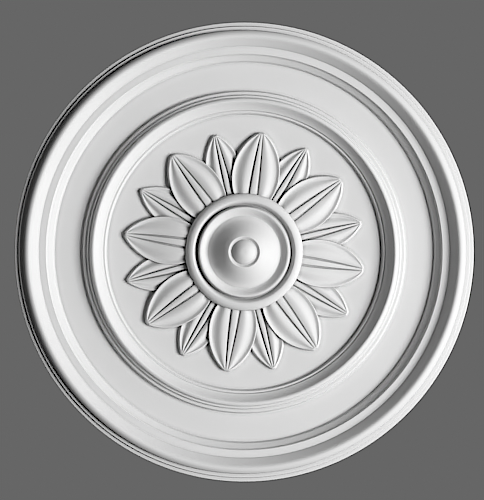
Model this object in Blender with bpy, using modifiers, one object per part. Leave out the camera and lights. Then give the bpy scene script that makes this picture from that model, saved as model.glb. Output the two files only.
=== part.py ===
"""A round ceiling rose, cast in one piece of plaster: a moulded rim, a plain band, an inner ring,
and on the field inside it a flower of two rows of leaves round a turned boss.

The rose hangs face down. Its flat back, which meets the ceiling, is the plane z = 0, and its axis is
the z axis. All sizes are in metres. A width runs outwards across the face, and a depth runs down
from the ceiling.
"""

import math
from typing import NamedTuple

import bmesh
import bpy
from mathutils import Matrix

# Widths across the face, from the axis outwards
BUTTON_FLAT_RADIUS = 0.0040
BUTTON_DOME_WIDTH = 0.0126
GROOVE_INNER_WIDTH = 0.0006
GROOVE_OUTER_WIDTH = 0.0032
BELL_WIDTH = 0.0272
DISH_SIDE_WIDTH = 0.0090
DISH_LIP_WIDTH = 0.0020
LIP_WALL_WIDTH = 0.0026
COLLAR_GROOVE_WIDTH = 0.0004
COLLAR_INNER_WIDTH = 0.0060
COLLAR_OUTER_WIDTH = 0.0094
COLLAR_WALL_WIDTH = 0.0004
LEAF_LENGTH = 0.0785
FIELD_MARGIN = 0.0240
INNER_RISER_WIDTH = 0.0024
INNER_FILLET_WIDTH = 0.0026
COVE_RISER_WIDTH = 0.0010
COVE_WIDTH = 0.0091
CREST_WIDTH = 0.0056
UPPER_RISER_WIDTH = 0.0016
UPPER_FILLET_WIDTH = 0.0024
MIDDLE_RISER_WIDTH = 0.0014
LOWER_FILLET_WIDTH = 0.0036
LOWER_RISER_WIDTH = 0.0018
RING_FOOT_WIDTH = 0.0033
BAND_WIDTH = 0.0336
FOOT_RISER_WIDTH = 0.0022
SLOPE_WIDTH = 0.0066
HEAD_RISER_WIDTH = 0.0020
STEP_WIDTH = 0.0096
ROLL_FOOT_WIDTH = 0.0018
ROLL_SLOPE_WIDTH = 0.0060
ROLL_SHOULDER_WIDTH = 0.0060
ROLL_OUTER_WIDTH = 0.0065
ROLL_WALL_WIDTH = 0.0006
SECOND_LEDGE_WIDTH = 0.0049
LEDGE_RISER_WIDTH = 0.0007
FIRST_LEDGE_WIDTH = 0.0040
ARRIS = 0.0008

# Depths from the ceiling
BUTTON_DEPTH = 0.0540
GROOVE_DEPTH = 0.0455
BELL_TOP_DEPTH = 0.0480
DISH_FLOOR_DEPTH = 0.0262
DISH_LIP_DEPTH = 0.0330
COLLAR_GROOVE_DEPTH = 0.0238
COLLAR_CREST_DEPTH = 0.0310
COLLAR_WALL_DEPTH = 0.0215
FIELD_DEPTH = 0.0085
INNER_FILLET_DEPTH = 0.0144
COVE_FOOT_DEPTH = 0.0168
CREST_FOOT_DEPTH = 0.0264
SHOULDER_DEPTH = 0.0270
UPPER_FILLET_DEPTH = 0.0232
LOWER_FILLET_DEPTH = 0.0190
FILLET_FALL = 0.0006
RING_FOOT_DEPTH = 0.0125
BAND_DEPTH = 0.0120
SLOPE_FOOT_DEPTH = 0.0169
SLOPE_HEAD_DEPTH = 0.0223
STEP_DEPTH = 0.0265
ROLL_FOOT_DEPTH = 0.0290
ROLL_SHOULDER_DEPTH = 0.0365
ROLL_CREST_DEPTH = 0.0410
ROLL_WALL_DEPTH = 0.0372
SECOND_LEDGE_DEPTH = 0.0330
FIRST_LEDGE_DEPTH = 0.0298
LEDGE_FALL = 0.0008

# Slopes, as depth over width
DOME_FOOT_SLOPE = 1.15
BELL_TOP_SLOPE = 0.40
BELL_FOOT_SLOPE = 0.30
DISH_LIP_SLOPE = 0.35
COLLAR_SLOPE = 1.50
COVE_FOOT_SLOPE = 0.60
CREST_INNER_SLOPE = 1.50
CREST_OUTER_SLOPE = 0.85
ROLL_OUTER_SLOPE = 1.20

# The two rows of leaves. The small ones stand half a step round from the large ones.
LEAVES_IN_A_ROW = 8
LARGE_LEAF_TURN = math.radians(8.5)
SMALL_LEAF_TURN = LARGE_LEAF_TURN + math.pi / LEAVES_IN_A_ROW
LEAF_ROOT_LENGTH = 0.0100
LEAF_TIP_HALF_WIDTH = 0.0020
LEAF_WALL_BATTER = 0.0016
LEAF_GROOVE_HALF_WIDTH = 0.0022
LEAF_GROOVE_DEPTH = 0.0036
LEAF_PILLOW_RISE = 0.0011
LEAF_PILLOW_DROP = 0.0040
LEAF_LIP_WIDTH = 0.0042
LEAF_LIP_RISE = 0.0018

# How much of a leaf's half width its rib, groove and lip take up at most
RIB_MOST_SHARE = 0.35
GROOVE_MOST_SHARE = 0.40
LIP_MOST_SHARE = 0.22

# Where a leaf's swelling half is highest and where it has begun to fall, as shares of its width
PILLOW_CREST_SHARE = 0.34
PILLOW_FALL_SHARE = 0.70
PILLOW_FALL_DROP_SHARE = 0.40

# How the midrib narrows along the leaf
NARROWING_POWER = 1.6
RIB_TIP_SHARE = 0.25

# How finely the curved surfaces are faceted
TURN_STEPS = 48
LEAF_STEPS = 6
STEPS_CROWD_TO_TIP = 1.35


class Leaf(NamedTuple):
    """What differs between the two rows. Widest is a share of the length from collar to tip."""

    name: str
    turn: float
    half_width: float
    widest: float
    fullness: float
    base_height: float
    tip_height: float
    rib_spread: float
    sinking: float


SMALL_LEAF = Leaf(
    name="small_leaf",
    turn=SMALL_LEAF_TURN,
    half_width=0.0222,
    widest=0.41,
    fullness=0.85,
    base_height=0.0105,
    tip_height=0.0060,
    rib_spread=0.0045,
    sinking=0.0030,
)
LARGE_LEAF = Leaf(
    name="large_leaf",
    turn=LARGE_LEAF_TURN,
    half_width=0.0303,
    widest=0.31,
    fullness=0.75,
    base_height=0.0155,
    tip_height=0.0070,
    rib_spread=0.0056,
    sinking=0.0045,
)


def quarter(start, end, steps):
    """Points after start along a quarter of an ellipse, which leaves start level and arrives plumb."""
    points = []
    for step in range(1, steps + 1):
        angle = math.pi / 2 * step / steps
        radius = start[0] + (end[0] - start[0]) * math.sin(angle)
        depth = start[1] + (end[1] - start[1]) * (1 - math.cos(angle))
        points.append((radius, depth))
    return points


def ogee(start, end, start_slope, end_slope, steps):
    """Points after start along a cubic curve to end, with the slope of depth over radius at each end."""
    width = end[0] - start[0]
    points = []
    for step in range(1, steps + 1):
        t = step / steps
        depth = (
            (2 * t**3 - 3 * t**2 + 1) * start[1]
            + (t**3 - 2 * t**2 + t) * width * start_slope
            + (3 * t**2 - 2 * t**3) * end[1]
            + (t**3 - t**2) * width * end_slope
        )
        points.append((start[0] + width * t, depth))
    return points


def boss_profile():
    """The button, bell, dish and collar, as (radius, depth) from the axis outwards."""
    button_flat = (BUTTON_FLAT_RADIUS, BUTTON_DEPTH)
    button_edge = (BUTTON_FLAT_RADIUS + BUTTON_DOME_WIDTH, GROOVE_DEPTH)
    groove = (button_edge[0] + GROOVE_INNER_WIDTH, GROOVE_DEPTH)
    bell_top = (groove[0] + GROOVE_OUTER_WIDTH, BELL_TOP_DEPTH)
    dish_floor = (bell_top[0] + BELL_WIDTH, DISH_FLOOR_DEPTH)
    dish_side = (dish_floor[0] + DISH_SIDE_WIDTH, DISH_LIP_DEPTH)
    lip = (dish_side[0] + DISH_LIP_WIDTH, DISH_LIP_DEPTH)
    lip_foot = (lip[0] + LIP_WALL_WIDTH, COLLAR_GROOVE_DEPTH)
    collar_start = (lip_foot[0] + COLLAR_GROOVE_WIDTH, COLLAR_GROOVE_DEPTH)
    collar_crest = (collar_start[0] + COLLAR_INNER_WIDTH, COLLAR_CREST_DEPTH)
    collar_side = (collar_crest[0] + COLLAR_OUTER_WIDTH, COLLAR_WALL_DEPTH)
    collar_foot = (collar_side[0] + COLLAR_WALL_WIDTH, FIELD_DEPTH)

    points = [(0, BUTTON_DEPTH), button_flat]
    points += ogee(button_flat, button_edge, 0, -DOME_FOOT_SLOPE, 3)
    points += [groove, bell_top]
    points += ogee(bell_top, dish_floor, -BELL_TOP_SLOPE, -BELL_FOOT_SLOPE, 4)
    points += ogee(dish_floor, dish_side, 0, DISH_LIP_SLOPE, 2)
    points += [lip, lip_foot, collar_start]
    points += ogee(collar_start, collar_crest, COLLAR_SLOPE, 0, 2)
    points += quarter(collar_crest, collar_side, 3)
    points.append(collar_foot)
    return points


def inner_ring_profile(foot_radius):
    """The ring round the field, from its foot on the field out to its foot on the band."""
    fillet_foot = (foot_radius + INNER_RISER_WIDTH, INNER_FILLET_DEPTH)
    fillet_edge = (fillet_foot[0] + INNER_FILLET_WIDTH, INNER_FILLET_DEPTH)
    cove_foot = (fillet_edge[0] + COVE_RISER_WIDTH, COVE_FOOT_DEPTH)
    crest_foot = (cove_foot[0] + COVE_WIDTH, CREST_FOOT_DEPTH)
    shoulder = (crest_foot[0] + CREST_WIDTH, SHOULDER_DEPTH)
    upper_fillet = (shoulder[0] + UPPER_RISER_WIDTH, UPPER_FILLET_DEPTH)
    upper_edge = (upper_fillet[0] + UPPER_FILLET_WIDTH, UPPER_FILLET_DEPTH - FILLET_FALL)
    lower_fillet = (upper_edge[0] + MIDDLE_RISER_WIDTH, LOWER_FILLET_DEPTH)
    lower_edge = (lower_fillet[0] + LOWER_FILLET_WIDTH, LOWER_FILLET_DEPTH - FILLET_FALL)
    foot = (lower_edge[0] + LOWER_RISER_WIDTH, RING_FOOT_DEPTH)
    band = (foot[0] + RING_FOOT_WIDTH, BAND_DEPTH)

    points = [(foot_radius, FIELD_DEPTH), fillet_foot, fillet_edge, cove_foot]
    points += ogee(cove_foot, crest_foot, COVE_FOOT_SLOPE, CREST_INNER_SLOPE, 2)
    points += ogee(crest_foot, shoulder, CREST_INNER_SLOPE, -CREST_OUTER_SLOPE, 2)
    points += [upper_fillet, upper_edge, lower_fillet, lower_edge, foot, band]
    return points


def rim_profile(foot_radius):
    """The slope, step, roll and two ledges of the rim, then its side and the flat back."""
    foot = (foot_radius, BAND_DEPTH)
    slope_foot = (foot_radius + FOOT_RISER_WIDTH, SLOPE_FOOT_DEPTH)
    slope_head = (slope_foot[0] + SLOPE_WIDTH, SLOPE_HEAD_DEPTH)
    step_edge = (slope_head[0] + HEAD_RISER_WIDTH, STEP_DEPTH)
    roll_start = (step_edge[0] + STEP_WIDTH, STEP_DEPTH)
    roll_foot = (roll_start[0] + ROLL_FOOT_WIDTH, ROLL_FOOT_DEPTH)
    roll_shoulder = (roll_foot[0] + ROLL_SLOPE_WIDTH, ROLL_SHOULDER_DEPTH)
    crest = (roll_shoulder[0] + ROLL_SHOULDER_WIDTH, ROLL_CREST_DEPTH)
    roll_wall = (crest[0] + ROLL_OUTER_WIDTH, ROLL_WALL_DEPTH)
    roll_end = (roll_wall[0] + ROLL_WALL_WIDTH, SECOND_LEDGE_DEPTH)
    second_edge = (roll_end[0] + SECOND_LEDGE_WIDTH, SECOND_LEDGE_DEPTH - LEDGE_FALL)
    first_ledge = (second_edge[0] + LEDGE_RISER_WIDTH, FIRST_LEDGE_DEPTH)
    arris = (first_ledge[0] + FIRST_LEDGE_WIDTH, FIRST_LEDGE_DEPTH - LEDGE_FALL)
    side = (arris[0] + ARRIS, arris[1] - ARRIS)

    slope = (ROLL_SHOULDER_DEPTH - ROLL_FOOT_DEPTH) / ROLL_SLOPE_WIDTH
    points = [foot, slope_foot, slope_head, step_edge, roll_start, roll_foot, roll_shoulder]
    points += ogee(roll_shoulder, crest, slope, 0, 2)
    points += ogee(crest, roll_wall, 0, -ROLL_OUTER_SLOPE, 2)
    points += [roll_end, second_edge, first_ledge, arris, side, (side[0], 0), (0, 0)]
    return points


def leaf_section(share, leaf):
    """Half of the leaf's cross-section as (distance from the midrib, height above the field).

    Share is how far along the leaf it is: 0 at the collar, 1 at the tip, and less than 0 in the root.
    """
    along = max(share, 0)
    offset = (share - leaf.widest) / (1 - leaf.widest)
    swell = max(0, 1 - offset**2) ** leaf.fullness
    width = max(leaf.half_width * swell, LEAF_TIP_HALF_WIDTH)
    fall = (1 - math.cos(math.pi * along)) / 2
    crown = leaf.base_height + (leaf.tip_height - leaf.base_height) * fall
    relief = width / leaf.half_width
    narrowing = 1 - (1 - RIB_TIP_SHARE) * along**NARROWING_POWER

    groove = min(leaf.rib_spread * narrowing, RIB_MOST_SHARE * width)
    groove_edge = groove + min(LEAF_GROOVE_HALF_WIDTH * narrowing, GROOVE_MOST_SHARE * groove)
    valley = width - min(LEAF_LIP_WIDTH, LIP_MOST_SHARE * width)
    pillow = valley - groove_edge
    return [
        (0, crown),
        (groove, crown - LEAF_GROOVE_DEPTH * relief),
        (groove_edge, crown - LEAF_PILLOW_RISE * relief),
        (groove_edge + PILLOW_CREST_SHARE * pillow, crown),
        (
            groove_edge + PILLOW_FALL_SHARE * pillow,
            crown - PILLOW_FALL_DROP_SHARE * LEAF_PILLOW_DROP * relief,
        ),
        (valley, crown - LEAF_PILLOW_DROP * relief),
        (width, crown - (LEAF_PILLOW_DROP - LEAF_LIP_RISE) * relief),
    ]


def leaf_mesh(leaf, collar_radius):
    """One leaf along +X, from its root inside the collar to its tip, closed below inside the field."""
    half_columns = len(leaf_section(0, leaf)) - 1
    steps = LEAF_STEPS + 1
    form = bmesh.new()
    bmesh.ops.create_grid(form, x_segments=steps, y_segments=2 * half_columns, size=1)
    for vert in form.verts:
        step = round((vert.co.x + 1) / 2 * steps)
        column = round(vert.co.y * half_columns)
        share = -LEAF_ROOT_LENGTH / LEAF_LENGTH
        if step > 0:
            share = 1 - (1 - (step - 1) / LEAF_STEPS) ** STEPS_CROWD_TO_TIP
        aside, height = leaf_section(share, leaf)[abs(column)]
        vert.co.x = collar_radius + share * LEAF_LENGTH
        vert.co.y = math.copysign(aside, column)
        vert.co.z = -FIELD_DEPTH - height

    # The walls spread a little as they go down into the field, as a cast leaf's do
    middle = collar_radius + leaf.widest * LEAF_LENGTH
    spread = 1 + LEAF_WALL_BATTER / leaf.half_width
    below = bmesh.ops.extrude_face_region(form, geom=form.faces[:])
    for vert in below["geom"]:
        if isinstance(vert, bmesh.types.BMVert):
            vert.co.x = middle + (vert.co.x - middle) * spread
            vert.co.y *= spread
            vert.co.z = leaf.sinking - FIELD_DEPTH
    bmesh.ops.recalc_face_normals(form, faces=form.faces[:])
    bmesh.ops.triangulate(form, faces=form.faces[:])
    mesh = bpy.data.meshes.new(leaf.name)
    form.to_mesh(mesh)
    form.free()
    return mesh


def mesh_object(name, mesh, collection):
    """A new object that shows the mesh, in the collection."""
    made = bpy.data.objects.new(name, mesh)
    collection.objects.link(made)
    return made


def turned_disc(name, profile, collection):
    """The section turned about the z axis. It runs down the outer side, from the back to the face."""
    corners = [(radius, 0, -depth) for radius, depth in reversed(profile)]
    edges = [(index, index + 1) for index in range(len(corners) - 1)]
    mesh = bpy.data.meshes.new(name)
    mesh.from_pydata(corners, edges, [])
    disc = mesh_object(name, mesh, collection)
    screw = disc.modifiers.new("turn", "SCREW")
    screw.axis = "Z"
    screw.angle = 2 * math.pi
    screw.steps = TURN_STEPS
    screw.render_steps = TURN_STEPS
    screw.use_merge_vertices = True
    screw.merge_threshold = 0.00001
    screw.use_smooth_shade = True
    return disc


def leaf_row(leaf, collar_radius):
    """One row of equal leaves round the collar, in a collection of its own."""
    row = bpy.data.collections.new(leaf.name + "_forms")
    row.hide_render = True
    bpy.context.scene.collection.children.link(row)
    mesh = leaf_mesh(leaf, collar_radius)
    for place in range(LEAVES_IN_A_ROW):
        form = mesh_object(f"{leaf.name}_{place + 1}", mesh, row)
        angle = leaf.turn + 2 * math.pi * place / LEAVES_IN_A_ROW
        form.matrix_world = Matrix.Rotation(angle, 4, "Z")
        form.hide_render = True
        form.display_type = "WIRE"
    return row


def join_leaves(disc, row):
    """The row of leaves made one body with the disc."""
    union = disc.modifiers.new(row.name, "BOOLEAN")
    union.operation = "UNION"
    union.solver = "EXACT"
    union.operand_type = "COLLECTION"
    union.collection = row


def painted_plaster():
    """Matt white paint on fine cast plaster."""
    material = bpy.data.materials.new("painted_plaster")
    material.use_nodes = True
    shader = material.node_tree.nodes["Principled BSDF"]
    shader.inputs["Base Color"].default_value = (0.80, 0.80, 0.80, 1)
    shader.inputs["Roughness"].default_value = 0.75
    shader.inputs["Metallic"].default_value = 0
    return material


def main():
    for old in list(bpy.data.objects):
        bpy.data.objects.remove(old)
    rose = bpy.data.collections.new("ceiling_rose")
    bpy.context.scene.collection.children.link(rose)

    boss = boss_profile()
    collar_radius = boss[-1][0]
    ring = inner_ring_profile(collar_radius + LEAF_LENGTH + FIELD_MARGIN)
    rim = rim_profile(ring[-1][0] + BAND_WIDTH)
    disc = turned_disc("ceiling_rose", boss + ring + rim, rose)
    for leaf in (SMALL_LEAF, LARGE_LEAF):
        join_leaves(disc, leaf_row(leaf, collar_radius))
    disc.data.materials.append(painted_plaster())


main()
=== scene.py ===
"""A round ceiling rose of cast plaster with a matt white finish, fixed face down on a ceiling.

The casting is modelled as its maker runs and carves it. A half section is drawn from the axis
outwards and turned, and two rows of leaves are laid on the field and made one body with it. The
flat back, which meets the ceiling, is the plane z = 0, and the axis is the z axis. All sizes are in
metres. A width runs outwards across the face, and a depth runs down from the ceiling.
"""

import logging
import math
from collections.abc import Mapping, Sequence
from dataclasses import dataclass
from enum import Enum
from typing import Any

import bmesh
import bpy
from mathutils import Matrix, Vector


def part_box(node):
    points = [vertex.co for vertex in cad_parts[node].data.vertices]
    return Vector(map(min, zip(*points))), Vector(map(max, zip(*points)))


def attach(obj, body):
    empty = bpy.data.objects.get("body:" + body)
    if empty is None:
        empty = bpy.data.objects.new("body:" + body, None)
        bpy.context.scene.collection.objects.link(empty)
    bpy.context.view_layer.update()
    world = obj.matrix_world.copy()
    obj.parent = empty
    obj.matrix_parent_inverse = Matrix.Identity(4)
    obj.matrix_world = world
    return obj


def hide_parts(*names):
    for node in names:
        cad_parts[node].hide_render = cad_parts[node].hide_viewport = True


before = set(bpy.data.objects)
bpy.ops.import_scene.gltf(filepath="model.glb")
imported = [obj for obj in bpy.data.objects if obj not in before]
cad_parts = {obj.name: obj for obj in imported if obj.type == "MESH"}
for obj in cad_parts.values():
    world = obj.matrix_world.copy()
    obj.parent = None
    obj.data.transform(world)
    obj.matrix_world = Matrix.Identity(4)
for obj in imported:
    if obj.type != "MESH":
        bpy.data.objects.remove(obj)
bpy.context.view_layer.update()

NODE = "ceiling_rose"
BODY = "root"

log = logging.getLogger(NODE)

Point = tuple[float, float]
Colour = tuple[float, float, float, float]


class Entry(Enum):
    """How a quarter curve leaves its first point."""

    LEVEL = "level"
    PLUMB = "plumb"


class Ease(Enum):
    """How a carved surface passes from one height to the next."""

    BOTH = "level at both ends"
    START = "level at the start"
    END = "level at the end"

    def share(self, t: float) -> float:
        """How much of the change of height is done at a share t of the width.

        Args:
            t: The share of the width, from 0 to 1.

        Returns:
            The share of the change of height, from 0 to 1.
        """
        if self is Ease.BOTH:
            return (1 - math.cos(math.pi * t)) / 2
        if self is Ease.START:
            return 1 - math.cos(math.pi / 2 * t)
        return math.sin(math.pi / 2 * t)


class Section:
    """Half a cross-section, drawn as a wire from the axis outwards and then turned.

    A point of it is a radius, which is the distance from the axis, and a depth below the ceiling.
    """

    ROUNDING_STEPS = 3
    WELD = 0.000001

    def __init__(self, radius: float, depth: float) -> None:
        """Starts the section.

        Args:
            radius: The first point's distance from the axis.
            depth: The first point's depth below the ceiling.
        """
        self.wire = bmesh.new()
        self.end = bmesh.ops.create_vert(self.wire, co=(radius, 0, -depth))["vert"][0]
        self.corners: list[tuple[bmesh.types.BMVert, float]] = []

    @property
    def radius(self) -> float:
        """The distance of the last point from the axis."""
        return self.end.co.x

    @property
    def depth(self) -> float:
        """The depth of the last point below the ceiling."""
        return -self.end.co.z

    def line(self, width: float, depth: float, soften: float = 0) -> None:
        """Draws a straight side.

        Args:
            width: How much further from the axis it ends.
            depth: The depth at which it ends.
            soften: How far the corner at its end is rounded along each side.
        """
        radius = self.radius + width
        self.end = bmesh.ops.extrude_vert_indiv(self.wire, verts=[self.end])["verts"][0]
        self.end.co = (radius, 0, -depth)
        if soften:
            self.corners.append((self.end, soften))

    def soften_start(self, soften: float) -> None:
        """Rounds the corner that the section has reached, by soften along each side."""
        self.corners.append((self.end, soften))

    def quarter(self, width: float, depth: float, entry: Entry, steps: int, soften: float = 0) -> None:
        """Draws a quarter of an ellipse.

        Args:
            width: How much further from the axis it ends.
            depth: The depth at which it ends.
            entry: Whether it starts level and ends plumb, or the other way round.
            steps: How many sides it has.
            soften: How far the corner at its end is rounded.
        """
        radius, start = self.radius, self.depth
        for step in range(1, steps + 1):
            angle = math.pi / 2 * step / steps
            across, down = math.sin(angle), 1 - math.cos(angle)
            if entry is Entry.PLUMB:
                across, down = down, across
            reach = soften if step == steps else 0
            self.line(radius + width * across - self.radius, start + (depth - start) * down, reach)

    def ogee(self, width: float, depth: float, slopes: Point, steps: int, soften: float = 0) -> None:
        """Draws a smooth cubic curve.

        Args:
            width: How much further from the axis it ends.
            depth: The depth at which it ends.
            slopes: The slope of depth over radius at its start and at its end.
            steps: How many sides it has.
            soften: How far the corner at its end is rounded.
        """
        radius, start = self.radius, self.depth
        for step in range(1, steps + 1):
            t = step / steps
            down = (
                (2 * t**3 - 3 * t**2 + 1) * start
                + (t**3 - 2 * t**2 + t) * width * slopes[0]
                + (3 * t**2 - 2 * t**3) * depth
                + (t**3 - t**2) * width * slopes[1]
            )
            reach = soften if step == steps else 0
            self.line(radius + width * t - self.radius, down, reach)

    def turned(self, steps: int) -> bmesh.types.BMesh:
        """Rounds the noted corners and turns the section about the axis.

        Args:
            steps: How many sides a full turn has.

        Returns:
            The closed turned body.
        """
        for corner, reach in self.corners:
            bmesh.ops.bevel(
                self.wire,
                geom=[corner],
                offset=reach,
                offset_type="OFFSET",
                segments=self.ROUNDING_STEPS,
                profile=0.5,
                affect="VERTICES",
                clamp_overlap=True,
                material=-1,
            )
        bmesh.ops.spin(
            self.wire,
            geom=self.wire.verts[:] + self.wire.edges[:],
            cent=(0, 0, 0),
            axis=(0, 0, 1),
            angle=2 * math.pi,
            steps=steps,
            use_merge=True,
            use_duplicate=False,
        )
        bmesh.ops.remove_doubles(self.wire, verts=self.wire.verts[:], dist=self.WELD)
        bmesh.ops.recalc_face_normals(self.wire, faces=self.wire.faces[:])
        return self.wire


@dataclass(frozen=True)
class Boss:
    """The turned middle of the rose: a button in a bell, in a dish, inside a collar."""

    button_flat: float = 0.0020
    button_dome: float = 0.0146
    groove_inner: float = 0.0006
    groove_outer: float = 0.0032
    bell: float = 0.0272
    dish_side: float = 0.0090
    dish_lip: float = 0.0020
    lip_wall: float = 0.0026
    collar_groove: float = 0.0004
    collar_inner: float = 0.0060
    collar_outer: float = 0.0094
    collar_wall: float = 0.0004
    groove_depth: float = 0.0455
    bell_top_depth: float = 0.0480
    dish_floor_depth: float = 0.0262
    dish_lip_depth: float = 0.0330
    collar_groove_depth: float = 0.0238
    collar_crest_depth: float = 0.0310
    collar_wall_depth: float = 0.0215
    dome_foot_slope: float = 1.15
    bell_top_slope: float = 0.40
    bell_foot_slope: float = 0.30
    dish_lip_slope: float = 0.35
    collar_slope: float = 1.50
    arris: float = 0.0006

    @property
    def radius(self) -> float:
        """The radius of the collar's foot on the field."""
        groove = self.button_flat + self.button_dome + self.groove_inner + self.groove_outer
        dish = self.bell + self.dish_side + self.dish_lip + self.lip_wall
        collar = self.collar_groove + self.collar_inner + self.collar_outer + self.collar_wall
        return groove + dish + collar

    def draw(self, section: Section, field_depth: float) -> None:
        """Draws the boss on a section that starts on the axis.

        Args:
            section: The section, which has its first point at the button's lowest point.
            field_depth: The depth of the field, on which the collar stands.
        """
        section.line(self.button_flat, section.depth)
        section.ogee(self.button_dome, self.groove_depth, (0, -self.dome_foot_slope), 8)
        section.line(self.groove_inner, self.groove_depth, self.arris)
        section.line(self.groove_outer, self.bell_top_depth, self.arris)
        section.ogee(self.bell, self.dish_floor_depth, (-self.bell_top_slope, -self.bell_foot_slope), 14)
        section.ogee(self.dish_side, self.dish_lip_depth, (0, self.dish_lip_slope), 6, self.arris)
        section.line(self.dish_lip, self.dish_lip_depth, self.arris)
        section.line(self.lip_wall, self.collar_groove_depth, self.arris / 2)
        section.line(self.collar_groove, self.collar_groove_depth, self.arris / 2)
        section.ogee(self.collar_inner, self.collar_crest_depth, (self.collar_slope, 0), 6)
        section.quarter(self.collar_outer, self.collar_wall_depth, Entry.LEVEL, 9)
        section.line(self.collar_wall, field_depth)


@dataclass(frozen=True)
class InnerRing:
    """The ring round the field: a cove up to a crest, then two fillets down to the band."""

    riser: float = 0.0024
    fillet: float = 0.0026
    cove_riser: float = 0.0010
    cove: float = 0.0091
    crest: float = 0.0056
    upper_riser: float = 0.0016
    upper_fillet: float = 0.0024
    middle_riser: float = 0.0014
    lower_fillet: float = 0.0036
    lower_riser: float = 0.0018
    foot: float = 0.0033
    fillet_depth: float = 0.0144
    cove_foot_depth: float = 0.0168
    crest_foot_depth: float = 0.0264
    shoulder_depth: float = 0.0270
    upper_fillet_depth: float = 0.0232
    lower_fillet_depth: float = 0.0190
    fillet_fall: float = 0.0006
    foot_depth: float = 0.0125
    cove_slopes: Point = (0.60, 1.50)
    crest_slopes: Point = (1.50, -0.85)
    foot_slopes: Point = (-0.30, 0)
    arris: float = 0.0006
    crease: float = 0.0004

    def draw(self, section: Section, band_depth: float) -> None:
        """Draws the ring on a section that has reached its foot on the field.

        Args:
            section: The section.
            band_depth: The depth of the band outside the ring.
        """
        section.soften_start(self.crease)
        section.line(self.riser, self.fillet_depth, self.arris)
        section.line(self.fillet, self.fillet_depth, self.crease)
        section.line(self.cove_riser, self.cove_foot_depth)
        section.ogee(self.cove, self.crest_foot_depth, self.cove_slopes, 8)
        section.ogee(self.crest, self.shoulder_depth, self.crest_slopes, 6, self.arris / 2)
        section.line(self.upper_riser, self.upper_fillet_depth, self.crease)
        section.line(self.upper_fillet, self.upper_fillet_depth - self.fillet_fall, self.arris)
        section.line(self.middle_riser, self.lower_fillet_depth, self.crease)
        section.line(self.lower_fillet, self.lower_fillet_depth - self.fillet_fall, self.arris)
        section.line(self.lower_riser, self.foot_depth, self.crease)
        section.ogee(self.foot, band_depth, self.foot_slopes, 4)


@dataclass(frozen=True)
class Rim:
    """The outer moulding: a slope, a step, a large roll and two ledges, then the plain side."""

    foot_riser: float = 0.0022
    slope: float = 0.0066
    head_riser: float = 0.0020
    step: float = 0.0096
    roll_foot: float = 0.0018
    roll_slope: float = 0.0060
    roll_shoulder: float = 0.0060
    roll_outer: float = 0.0065
    roll_wall: float = 0.0006
    second_ledge: float = 0.0049
    ledge_riser: float = 0.0007
    first_ledge: float = 0.0040
    edge: float = 0.0008
    slope_foot_depth: float = 0.0169
    slope_head_depth: float = 0.0223
    step_depth: float = 0.0265
    roll_foot_depth: float = 0.0290
    roll_shoulder_depth: float = 0.0365
    roll_crest_depth: float = 0.0410
    roll_outer_slopes: Point = (0, -1.20)
    roll_wall_depth: float = 0.0372
    second_ledge_depth: float = 0.0330
    first_ledge_depth: float = 0.0298
    ledge_fall: float = 0.0008
    arris: float = 0.0006
    crease: float = 0.0004
    back_edge: float = 0.0005

    def draw(self, section: Section) -> None:
        """Draws the rim on a section that has reached the end of the band, and closes the back.

        Args:
            section: The section.
        """
        section.soften_start(self.crease)
        section.line(self.foot_riser, self.slope_foot_depth, self.crease)
        section.line(self.slope, self.slope_head_depth, self.crease)
        section.line(self.head_riser, self.step_depth, self.arris)
        section.line(self.step, self.step_depth, self.crease)
        section.line(self.roll_foot, self.roll_foot_depth, self.crease)
        section.line(self.roll_slope, self.roll_shoulder_depth)
        slope = (self.roll_shoulder_depth - self.roll_foot_depth) / self.roll_slope
        section.ogee(self.roll_shoulder, self.roll_crest_depth, (slope, 0), 8)
        section.ogee(self.roll_outer, self.roll_wall_depth, self.roll_outer_slopes, 8)
        section.line(self.roll_wall, self.second_ledge_depth, self.crease)
        section.line(self.second_ledge, self.second_ledge_depth - self.ledge_fall, self.arris / 2)
        section.line(self.ledge_riser, self.first_ledge_depth, self.crease)
        section.line(self.first_ledge, self.first_ledge_depth - self.ledge_fall)
        section.quarter(self.edge, section.depth - self.edge, Entry.LEVEL, 4)
        section.line(0, 0, self.back_edge)
        section.line(-section.radius, 0)


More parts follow.
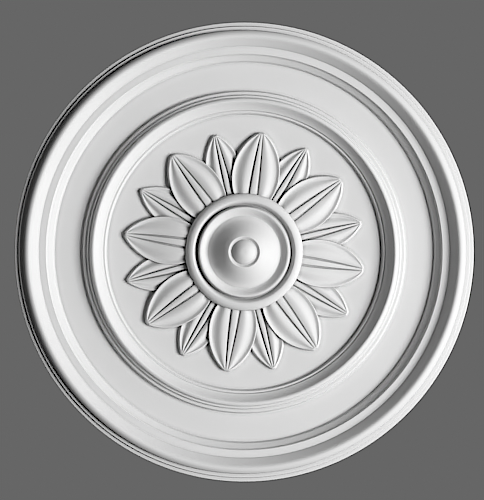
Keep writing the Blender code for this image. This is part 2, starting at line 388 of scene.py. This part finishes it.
@dataclass(frozen=True)
class LeafRow:
    """Eight equal leaves that stand out from the collar over the field.

    A leaf has a midrib between two grooves, a swelling half on each side of it, and a narrow lip
    along its edge, from which its wall goes down to the field. Widest is a share of its length.
    """

    name: str
    turn: float
    half_width: float
    widest: float
    fullness: float
    base_height: float
    tip_height: float
    rib_spread: float
    sinking: float
    length: float = 0.0785
    root: float = 0.0100
    count: int = 8
    tip_half_width: float = 0.0008
    tip_bluntness: float = 0.02
    groove_half_width: float = 0.0022
    groove_depth: float = 0.0036
    rib_rounding: float = 0.0004
    swell: float = 0.0011
    drop: float = 0.0040
    lip_width: float = 0.0042
    lip_rise: float = 0.0018
    lip_rounding: float = 0.0007
    wall_batter: float = 0.0014
    foot_cove: float = 0.0008
    narrowing_power: float = 1.6
    rib_tip_share: float = 0.25
    rows: int = 44
    crowding: float = 1.35

    def section(self, share: float) -> list[Point]:
        """Half of the cross-section, from the midrib out to the lip.

        Args:
            share: How far along the leaf it is: 0 at the collar, 1 at the tip, below 0 in the root.

        Returns:
            The points, as distance from the midrib and height above the field.
        """
        along = max(share, 0)
        offset = (share - self.widest) / (1 - self.widest) * (1 - self.tip_bluntness)
        width = self.half_width * max(0, 1 - offset**2) ** self.fullness
        width = max(width, self.tip_half_width)
        crown = self.base_height + (self.tip_height - self.base_height) * Ease.BOTH.share(along)
        relief = width / self.half_width
        narrowing = 1 - (1 - self.rib_tip_share) * along**self.narrowing_power

        groove = min(self.rib_spread * narrowing, 0.35 * width)
        groove_side = min(self.groove_half_width * narrowing, 0.4 * groove)
        valley = width - min(self.lip_width, 0.22 * width)
        pillow = valley - groove - groove_side
        stations = [
            (Ease.START, 2, groove - groove_side, self.rib_rounding),
            (Ease.BOTH, 4, groove, self.groove_depth),
            (Ease.BOTH, 4, groove + groove_side, self.swell),
            (Ease.END, 3, groove + groove_side + 0.34 * pillow, 0),
            (Ease.BOTH, 6, valley, self.drop),
            (Ease.BOTH, 3, width, self.drop - self.lip_rise),
        ]
        points = [(0.0, crown)]
        for ease, steps, aside, fall in stations:
            start, start_height = points[-1]
            end_height = crown - fall * relief
            for step in range(1, steps + 1):
                t = step / steps
                height = start_height + (end_height - start_height) * ease.share(t)
                points.append((start + (aside - start) * t, height))
        return points

    def leaf(self, collar_radius: float, field_depth: float) -> bmesh.types.BMesh:
        """One leaf along +X, closed below inside the field.

        Args:
            collar_radius: The radius from which its length is measured.
            field_depth: The depth of the field that it lies on.

        Returns:
            The closed leaf.
        """
        half_columns = len(self.section(0)) - 1
        steps = self.rows + 1
        form = bmesh.new()
        bmesh.ops.create_grid(form, x_segments=steps, y_segments=2 * half_columns, size=1)
        sections = [self.section(-self.root / self.length)]
        places = [collar_radius - self.root]
        for row in range(steps):
            share = 1 - (1 - row / self.rows) ** self.crowding
            sections.append(self.section(share))
            places.append(collar_radius + share * self.length)
        for vert in form.verts:
            row = round((vert.co.x + 1) / 2 * steps)
            column = round(vert.co.y * half_columns)
            aside, height = sections[row][abs(column)]
            vert.co = (places[row], math.copysign(aside, column), -field_depth - height)
        self.add_wall(form, field_depth)
        bmesh.ops.recalc_face_normals(form, faces=form.faces[:])
        return form

    def add_wall(self, form: bmesh.types.BMesh, field_depth: float) -> None:
        """Extrudes a leaf's edge down into the field, over a rounded lip and a small cove.

        Args:
            form: The leaf's upper surface.
            field_depth: The depth of the field.
        """
        edges = [edge for edge in form.edges if edge.is_boundary]
        for rise, spread in (
            (0.3 * self.lip_rounding, 0.7 * self.lip_rounding),
            (0.7 * self.lip_rounding, 0.3 * self.lip_rounding),
        ):
            edges = self.next_ring(form, edges, spread, drop=rise)
        foot = -field_depth - self.foot_cove
        edges = self.next_ring(form, edges, self.wall_batter, level=foot)
        edges = self.next_ring(form, edges, 0.4 * self.foot_cove, level=-field_depth - 0.3 * self.foot_cove)
        edges = self.next_ring(form, edges, self.foot_cove, level=self.foot_cove / 2 - field_depth)
        edges = self.next_ring(form, edges, 0, level=self.sinking - field_depth)
        bmesh.ops.contextual_create(form, geom=edges)

    def next_ring(
        self,
        form: bmesh.types.BMesh,
        edges: Sequence[bmesh.types.BMEdge],
        spread: float,
        drop: float = 0,
        level: float | None = None,
    ) -> list[bmesh.types.BMEdge]:
        """Extrudes a closed loop of edges outwards and down.

        Args:
            form: The leaf.
            edges: The loop of edges at its open end.
            spread: How far outwards the new loop lies.
            drop: How far towards the field the new loop lies, where no level is given.
            level: The height at which the new loop lies.

        Returns:
            The new loop of edges.
        """
        outward: dict[bmesh.types.BMVert, Vector] = {}
        middle = sum((edge.verts[0].co for edge in edges), Vector()) / len(edges)
        for edge in edges:
            along = edge.verts[1].co - edge.verts[0].co
            side = Vector((along.y, -along.x, 0)).normalized()
            if side.dot(edge.verts[0].co - middle) < 0:
                side.negate()
            for vert in edge.verts:
                outward[vert] = outward.get(vert, Vector()) + side
        made = bmesh.ops.extrude_edge_only(form, edges=edges)["geom"]
        ring = [item for item in made if isinstance(item, bmesh.types.BMEdge)]
        new_verts = {item for item in made if isinstance(item, bmesh.types.BMVert)}
        for old, side in outward.items():
            vert = next(
                edge.other_vert(old) for edge in old.link_edges if edge.other_vert(old) in new_verts
            )
            vert.co = old.co + side.normalized() * spread
            vert.co.z = old.co.z + drop if level is None else level
        return ring

    def build(self, collar_radius: float, field_depth: float) -> bpy.types.Object:
        """The whole row.

        Args:
            collar_radius: The radius from which a leaf's length is measured.
            field_depth: The depth of the field.

        Returns:
            An object of separate closed leaves, which isn't in the scene's view layer.
        """
        row = bmesh.new()
        single = self.leaf(collar_radius, field_depth)
        mesh = bpy.data.meshes.new(self.name)
        single.to_mesh(mesh)
        single.free()
        for place in range(self.count):
            before = len(row.verts)
            row.from_mesh(mesh)
            row.verts.ensure_lookup_table()
            turn = Matrix.Rotation(self.turn + 2 * math.pi * place / self.count, 3, "Z")
            bmesh.ops.rotate(row, cent=(0, 0, 0), matrix=turn, verts=row.verts[before:])
        row.to_mesh(mesh)
        row.free()
        return bpy.data.objects.new(self.name, mesh)


class Value:
    """A shader socket that Python's arithmetic works on."""

    def __init__(self, tree: bpy.types.NodeTree, socket: bpy.types.NodeSocket) -> None:
        """Wraps a socket.

        Args:
            tree: The node tree that it is in.
            socket: The output socket.
        """
        self.tree = tree
        self.socket = socket

    def maths(self, operation: str, first: Any, second: Any = None) -> "Value":
        """Adds a Math node.

        Args:
            operation: The node's operation.
            first: Its first number or socket.
            second: Its second number or socket, if it has one.

        Returns:
            The node's result.
        """
        node = self.tree.nodes.new("ShaderNodeMath")
        node.operation = operation
        for index, operand in enumerate((first, second)):
            if isinstance(operand, Value):
                self.tree.links.new(operand.socket, node.inputs[index])
            elif operand is not None:
                node.inputs[index].default_value = operand
        return Value(self.tree, node.outputs[0])

    def __add__(self, other: Any) -> "Value":
        """The sum."""
        return self.maths("ADD", self, other)

    def __sub__(self, other: Any) -> "Value":
        """The difference."""
        return self.maths("SUBTRACT", self, other)

    def __rsub__(self, other: Any) -> "Value":
        """The difference, from a number on the left."""
        return self.maths("SUBTRACT", other, self)

    def __mul__(self, other: Any) -> "Value":
        """The product."""
        return self.maths("MULTIPLY", self, other)

    def __gt__(self, other: float) -> "Value":
        """1 where the value is greater than the number, and 0 elsewhere."""
        return self.maths("GREATER_THAN", self, other)

    __radd__ = __add__
    __rmul__ = __mul__


class Shader:
    """A material's node tree, with one method that adds any node."""

    def __init__(self, name: str) -> None:
        """Makes an empty material with the name."""
        self.material = bpy.data.materials.new(name)
        self.material.use_nodes = True
        self.tree = self.material.node_tree
        self.tree.nodes.clear()

    def node(
        self,
        kind: str,
        settings: Mapping[str, Any] | None = None,
        inputs: Mapping[str | int, Any] | None = None,
        output: str | int = 0,
    ) -> Value:
        """Adds a node.

        Args:
            kind: The node's type, without its ShaderNode prefix.
            settings: Its properties. A list of (place, colour) pairs under "stops" sets a ramp.
            inputs: What its sockets get: a number, a colour or another node's result.
            output: The socket that is returned.

        Returns:
            The chosen output.
        """
        node = self.tree.nodes.new("ShaderNode" + kind)
        for name, setting in (settings or {}).items():
            if name == "stops":
                self.set_stops(node.color_ramp, setting)
            else:
                setattr(node, name, setting)
        for name, given in (inputs or {}).items():
            if isinstance(given, Value):
                self.tree.links.new(given.socket, node.inputs[name])
            else:
                node.inputs[name].default_value = given
        return Value(self.tree, node.outputs[output])

    @staticmethod
    def set_stops(ramp: bpy.types.ColorRamp, stops: Sequence[tuple[float, Colour]]) -> None:
        """Gives a ramp its stops.

        Args:
            ramp: The ramp, as Blender makes it, with two stops.
            stops: The place and colour of each stop, from low to high.
        """
        while len(ramp.elements) < len(stops):
            ramp.elements.new(1)
        for element, (place, colour) in zip(ramp.elements, stops):
            element.position = place
            element.color = colour

    def show(self, surface: Value) -> bpy.types.Material:
        """Links a shader to the material's output.

        Args:
            surface: The shader.

        Returns:
            The finished material.
        """
        output = self.tree.nodes.new("ShaderNodeOutputMaterial")
        self.tree.links.new(surface.socket, output.inputs["Surface"])
        return self.material

    def noise(self, place: Value, scale: float, detail: float = 2, roughness: float = 0.5) -> Value:
        """A noise pattern.

        Args:
            place: The coordinates it reads.
            scale: How many of its patches there are to a metre.
            detail: How many finer layers it has.
            roughness: How strong the finer layers are.

        Returns:
            A value round a half.
        """
        inputs = {"Vector": place, "Scale": scale, "Detail": detail, "Roughness": roughness}
        return self.node("TexNoise", {"noise_dimensions": "3D"}, inputs)

    def bump(self, height: Value, distance: float, strength: float = 1) -> Value:
        """A bumped normal.

        Args:
            height: The height, from 0 to 1.
            distance: How far a height of 1 stands up, in metres.
            strength: How much of the bump shows.

        Returns:
            The normal.
        """
        return self.node("Bump", {}, {"Height": height, "Distance": distance, "Strength": strength}, "Normal")


@dataclass(frozen=True)
class PaintedFace:
    """Matt white paint, sprayed on fine plaster, with painted shade darkening the creases."""

    light: Colour = (0.755, 0.755, 0.755, 1)
    shade: Colour = (0.715, 0.715, 0.715, 1)
    # Painted shade: the near-black colour laid into the creases.
    painted_shade: Colour = (0.11, 0.11, 0.11, 1)
    roughness: float = 0.72
    painted_shade_reach: float = 0.0056
    painted_shade_share: float = 0.78
    cloud_scale: float = 14
    peel_scale: float = 650
    peel_height: float = 0.00004
    grain_scale: float = 2600
    grain_height: float = 0.000012

    def surface(self, shader: Shader, place: Value) -> Value:
        """The shader of the painted face.

        Args:
            shader: The material that it is in.
            place: The object coordinates.

        Returns:
            The Principled shader's output.
        """
        clouds = shader.noise(place, self.cloud_scale, 4)
        peel = shader.noise(place, self.peel_scale, 2)
        grain = shader.noise(place, self.grain_scale, 3, 0.6)
        # Painted shade: where ambient occlusion finds a crease, the colour is mixed towards near black. This
        # stands in for the shade that falls there, and the same mask also raises the roughness.
        open_sky = shader.node(
            "AmbientOcclusion", {"samples": 8}, {"Distance": self.painted_shade_reach}, "AO"
        )
        painted_shade = (1 - open_sky) * self.painted_shade_share
        paint = shader.node(
            "Mix",
            {"data_type": "RGBA", "clamp_factor": True},
            {0: clouds, 6: self.shade, 7: self.light},
            2,
        )
        colour = shader.node(
            "Mix", {"data_type": "RGBA", "clamp_factor": True}, {0: painted_shade, 6: paint, 7: self.painted_shade}, 2
        )
        normal = shader.bump(
            peel * self.peel_height + grain * self.grain_height, 1
        )
        rough = self.roughness + (clouds - 0.5) * 0.12 + painted_shade * 0.2
        return shader.node(
            "BsdfPrincipled",
            {},
            {"Base Color": colour, "Roughness": rough, "Normal": normal, "Metallic": 0, "IOR": 1.46},
        )


@dataclass(frozen=True)
class StruckBack:
    """The bare plaster of the back, struck off level with a rule while it was wet."""

    light: Colour = (0.74, 0.73, 0.71, 1)
    shade: Colour = (0.60, 0.59, 0.57, 1)
    roughness: float = 0.88
    patch_scale: float = 9
    stroke_scale: float = 26
    stroke_distortion: float = 5
    stroke_height: float = 0.00022
    pore_scale: float = 190
    pore_size: float = 0.17
    pore_height: float = 0.0006
    grain_scale: float = 1400
    grain_height: float = 0.00005

    def surface(self, shader: Shader, place: Value) -> Value:
        """The shader of the back.

        Args:
            shader: The material that it is in.
            place: The object coordinates.

        Returns:
            The Principled shader's output.
        """
        patches = shader.noise(place, self.patch_scale, 5, 0.6)
        strokes = shader.node(
            "TexWave",
            {"wave_type": "BANDS", "bands_direction": "DIAGONAL"},
            {
                "Vector": place,
                "Scale": self.stroke_scale,
                "Distortion": self.stroke_distortion,
                "Detail": 4,
                "Detail Scale": 1.5,
            },
            "Fac",
        )
        cell = shader.node(
            "TexVoronoi", {"feature": "F1"}, {"Vector": place, "Scale": self.pore_scale}, "Distance"
        )
        rare = shader.noise(place, self.pore_scale / 4, 1) > 0.62
        pore = rare * (1 - (cell > self.pore_size))
        grain = shader.noise(place, self.grain_scale, 3, 0.6)
        # Painted shade: the pinholes are darkened in colour as well as sunk by the bump, standing in for the
        # shade inside them.
        tone = patches + (strokes - 0.5) * 0.22 - pore * 0.6
        colour = shader.node(
            "ValToRGB", {"stops": [(0.25, self.shade), (0.7, self.light)]}, {"Fac": tone}, "Color"
        )
        height = strokes * self.stroke_height + grain * self.grain_height - pore * self.pore_height
        normal = shader.bump(height, 1)
        return shader.node(
            "BsdfPrincipled",
            {},
            {
                "Base Color": colour,
                "Roughness": self.roughness,
                "Normal": normal,
                "Metallic": 0,
                "IOR": 1.5,
            },
        )


@dataclass(frozen=True)
class PlasterFinish:
    """The whole casting's material: paint on the face and side, bare plaster on the back."""

    face: PaintedFace = PaintedFace()
    back: StruckBack = StruckBack()
    paint_edge: float = 0.0012
    paint_waver: float = 0.0016
    waver_scale: float = 70

    def material(self) -> bpy.types.Material:
        """Makes the material."""
        shader = Shader("painted_plaster_casting")
        place = shader.node("TexCoord", {}, {}, "Object")
        height = shader.node("SeparateXYZ", {}, {0: place}, "Z")
        waver = shader.noise(place, self.waver_scale, 3) * self.paint_waver
        bare = (height + waver) > -self.paint_edge + self.paint_waver / 2
        mixed = shader.node(
            "MixShader",
            {},
            {0: bare, 1: self.face.surface(shader, place), 2: self.back.surface(shader, place)},
        )
        return shader.show(mixed)


@dataclass(frozen=True)
class Casting:
    """The whole rose, cast in one piece."""

    boss: Boss
    ring: InnerRing
    rim: Rim
    leaf_rows: tuple[LeafRow, ...]
    finish: PlasterFinish
    button_depth: float
    field_depth: float = 0.0085
    field_margin: float = 0.0240
    band: float = 0.0336
    band_depth: float = 0.0120
    sides: int = 288
    smooth_below: float = math.radians(32)

    def turned_body(self) -> bpy.types.Object:
        """Draws the section from the button to the back and turns it.

        Returns:
            The turned body, which isn't in the scene's view layer.
        """
        section = Section(0, self.button_depth)
        self.boss.draw(section, self.field_depth)
        section.line(self.leaf_rows[0].length + self.field_margin, self.field_depth)
        self.ring.draw(section, self.band_depth)
        section.line(self.band, self.band_depth)
        self.rim.draw(section)
        body = section.turned(self.sides)
        mesh = bpy.data.meshes.new("turned_body")
        body.to_mesh(mesh)
        body.free()
        return bpy.data.objects.new("turned_body", mesh)

    def build(self) -> bpy.types.Object:
        """Makes the casting and dresses it.

        Returns:
            The finished piece.
        """
        body = self.turned_body()
        bpy.context.scene.collection.objects.link(body)
        rows = [row.build(self.boss.radius, self.field_depth) for row in self.leaf_rows]
        for row in rows:
            bpy.context.scene.collection.objects.link(row)
            union = body.modifiers.new(row.name, "BOOLEAN")
            union.operation = "UNION"
            union.solver = "MANIFOLD"
            union.object = row
        evaluated = body.evaluated_get(bpy.context.evaluated_depsgraph_get())
        mesh = bpy.data.meshes.new_from_object(evaluated)
        for helper in (body, *rows):
            bpy.data.objects.remove(helper)
        mesh.name = "ceiling_rose_casting"
        mesh.materials.clear()
        mesh.materials.append(self.finish.material())
        mesh.shade_smooth()
        mesh.set_sharp_from_angle(angle=self.smooth_below)
        piece = bpy.data.objects.new("ceiling_rose_casting", mesh)
        bpy.context.scene.collection.objects.link(piece)
        weighted = piece.modifiers.new("even_shading", "WEIGHTED_NORMAL")
        weighted.keep_sharp = True
        weighted.weight = 100
        return piece


@dataclass(frozen=True)
class Studio:
    """A plain room below the ceiling: a pale floor, one soft lamp at the side, and a grey backdrop."""

    sky: float = 0.133
    side_sky: float = 0.012
    sky_start: float = 0.75
    sky_full: float = 0.97
    horizon_width: float = 0.03
    floor_level: float = -12
    floor_size: float = 60
    floor_colour: Colour = (0.62, 0.62, 0.61, 1)
    lamp_distance: float = 4.5
    lamp_rise: float = math.radians(42)
    lamp_turn: float = math.radians(8)
    lamp_size: float = 2.0
    lamp_spread: float = math.radians(90)
    lamp_power: float = 64
    top_lamp_height: float = 4
    top_lamp_size: float = 3
    top_lamp_power: float = 30
    sharpening: float = 0.09

    def lamp(
        self, name: str, place: Vector, target: Vector, size: float, power: float, spread: float
    ) -> None:
        """Adds a round area lamp.

        Args:
            name: Its name.
            place: Where it hangs.
            target: What it points at.
            size: Its diameter.
            power: Its power in watts.
            spread: The full angle of its beam.
        """
        data = bpy.data.lights.new(name, "AREA")
        data.shape = "DISK"
        data.size = size
        data.energy = power
        data.spread = spread
        lamp = bpy.data.objects.new(name, data)
        lamp.location = place
        lamp.rotation_euler = (target - place).to_track_quat("-Z", "Y").to_euler()
        bpy.context.scene.collection.objects.link(lamp)

    def build(self) -> None:
        """Makes the floor, the lamps and the grey surroundings."""
        form = bmesh.new()
        bmesh.ops.create_grid(form, x_segments=1, y_segments=1, size=self.floor_size / 2)
        bmesh.ops.translate(form, verts=form.verts[:], vec=(0, 0, self.floor_level))
        mesh = bpy.data.meshes.new("floor")
        form.to_mesh(mesh)
        form.free()
        shader = Shader("pale_floor")
        surface = shader.node("BsdfPrincipled", {}, {"Base Color": self.floor_colour, "Roughness": 0.9})
        mesh.materials.append(shader.show(surface))
        floor = bpy.data.objects.new("floor", mesh)
        bpy.context.scene.collection.objects.link(floor)

        rose = Vector((0, 0, 0))
        aside = self.lamp_distance * math.cos(self.lamp_rise)
        side = Vector(
            (
                aside * math.cos(self.lamp_turn),
                aside * math.sin(self.lamp_turn),
                -self.lamp_distance * math.sin(self.lamp_rise),
            )
        )
        self.lamp("side_lamp", side, rose, self.lamp_size, self.lamp_power, self.lamp_spread)
        top = Vector((-0.8, -1.2, self.top_lamp_height))
        self.lamp("top_lamp", top, rose, self.top_lamp_size, self.top_lamp_power, math.pi)

        bpy.context.scene.world = self.sky_above()
        self.sharpen()
        bpy.context.scene.view_settings.view_transform = "Standard"

    def sharpen(self) -> None:
        """Sharpens the picture a little."""
        scene = bpy.context.scene
        scene.use_nodes = True
        nodes, links = scene.node_tree.nodes, scene.node_tree.links
        nodes.clear()
        layers = nodes.new("CompositorNodeRLayers")
        crisp = nodes.new("CompositorNodeFilter")
        crisp.filter_type = "SHARPEN"
        crisp.inputs["Fac"].default_value = self.sharpening
        output = nodes.new("CompositorNodeComposite")
        links.new(layers.outputs["Image"], crisp.inputs["Image"])
        links.new(crisp.outputs["Image"], output.inputs["Image"])

    def sky_above(self) -> bpy.types.World:
        """Makes surroundings that are grey overhead and darker towards the horizon."""
        world = bpy.data.worlds.new("grey_surroundings")
        world.use_nodes = True
        nodes, links = world.node_tree.nodes, world.node_tree.links
        place = nodes.new("ShaderNodeTexCoord")
        height = nodes.new("ShaderNodeSeparateXYZ")
        ramp = nodes.new("ShaderNodeValToRGB")
        grey, dark = (self.sky,) * 3 + (1,), (self.side_sky,) * 3 + (1,)
        stops = [(0, grey), (self.horizon_width, dark), (self.sky_start, dark), (self.sky_full, grey)]
        Shader.set_stops(ramp.color_ramp, stops)
        links.new(place.outputs["Generated"], height.inputs[0])
        links.new(height.outputs["Z"], ramp.inputs["Fac"])
        links.new(ramp.outputs["Color"], nodes["Background"].inputs["Color"])
        return world


@dataclass(frozen=True)
class Viewpoint:
    """The camera below the rose, looking straight up at its face."""

    image_width: float = 484
    image_height: float = 500
    rose_centre: Point = (244.2, 252.0)
    rose_width: float = 459.3
    lens: float = 400
    sensor: float = 36

    def build(self, radius: float, edge_depth: float) -> None:
        """Makes the camera so that the rose fills the same part of the picture.

        Args:
            radius: The rose's radius.
            edge_depth: The depth of its outer edge.
        """
        pixel = 2 * radius / self.rose_width
        distance = self.lens / self.sensor * self.image_height * pixel
        data = bpy.data.cameras.new("camera")
        data.lens = self.lens
        data.sensor_width = self.sensor
        camera = bpy.data.objects.new("camera", data)
        aside = (self.image_width / 2 - self.rose_centre[0]) * pixel
        above = (self.rose_centre[1] - self.image_height / 2) * pixel
        camera.location = (aside, -above, -distance - edge_depth)
        camera.rotation_euler = (math.pi, 0, 0)
        bpy.context.scene.collection.objects.link(camera)
        bpy.context.scene.camera = camera


def main() -> None:
    """Builds the studio, the camera and the rose."""
    logging.basicConfig(level=logging.INFO, format="%(name)s: %(message)s")
    lowest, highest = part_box(NODE)
    large_turn = math.radians(8.5)
    small_leaves = LeafRow(
        name="small_leaves",
        turn=large_turn + math.pi / 8,
        half_width=0.0222,
        widest=0.41,
        fullness=0.85,
        base_height=0.0105,
        tip_height=0.0060,
        rib_spread=0.0045,
        sinking=0.0030,
    )
    large_leaves = LeafRow(
        name="large_leaves",
        turn=large_turn,
        half_width=0.0303,
        widest=0.31,
        fullness=0.75,
        base_height=0.0155,
        tip_height=0.0070,
        rib_spread=0.0056,
        sinking=0.0045,
    )
    rim = Rim()
    casting = Casting(
        boss=Boss(),
        ring=InnerRing(),
        rim=rim,
        leaf_rows=(small_leaves, large_leaves),
        finish=PlasterFinish(),
        button_depth=-lowest[2],
    )
    piece = casting.build()
    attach(piece, BODY)
    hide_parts(NODE)
    log.info("%s has %d faces", piece.name, len(piece.data.polygons))

    Studio().build()
    log.info("studio made")
    Viewpoint().build(highest[0], rim.first_ledge_depth)
    log.info("camera made")


if __name__ == "__main__":
    main()
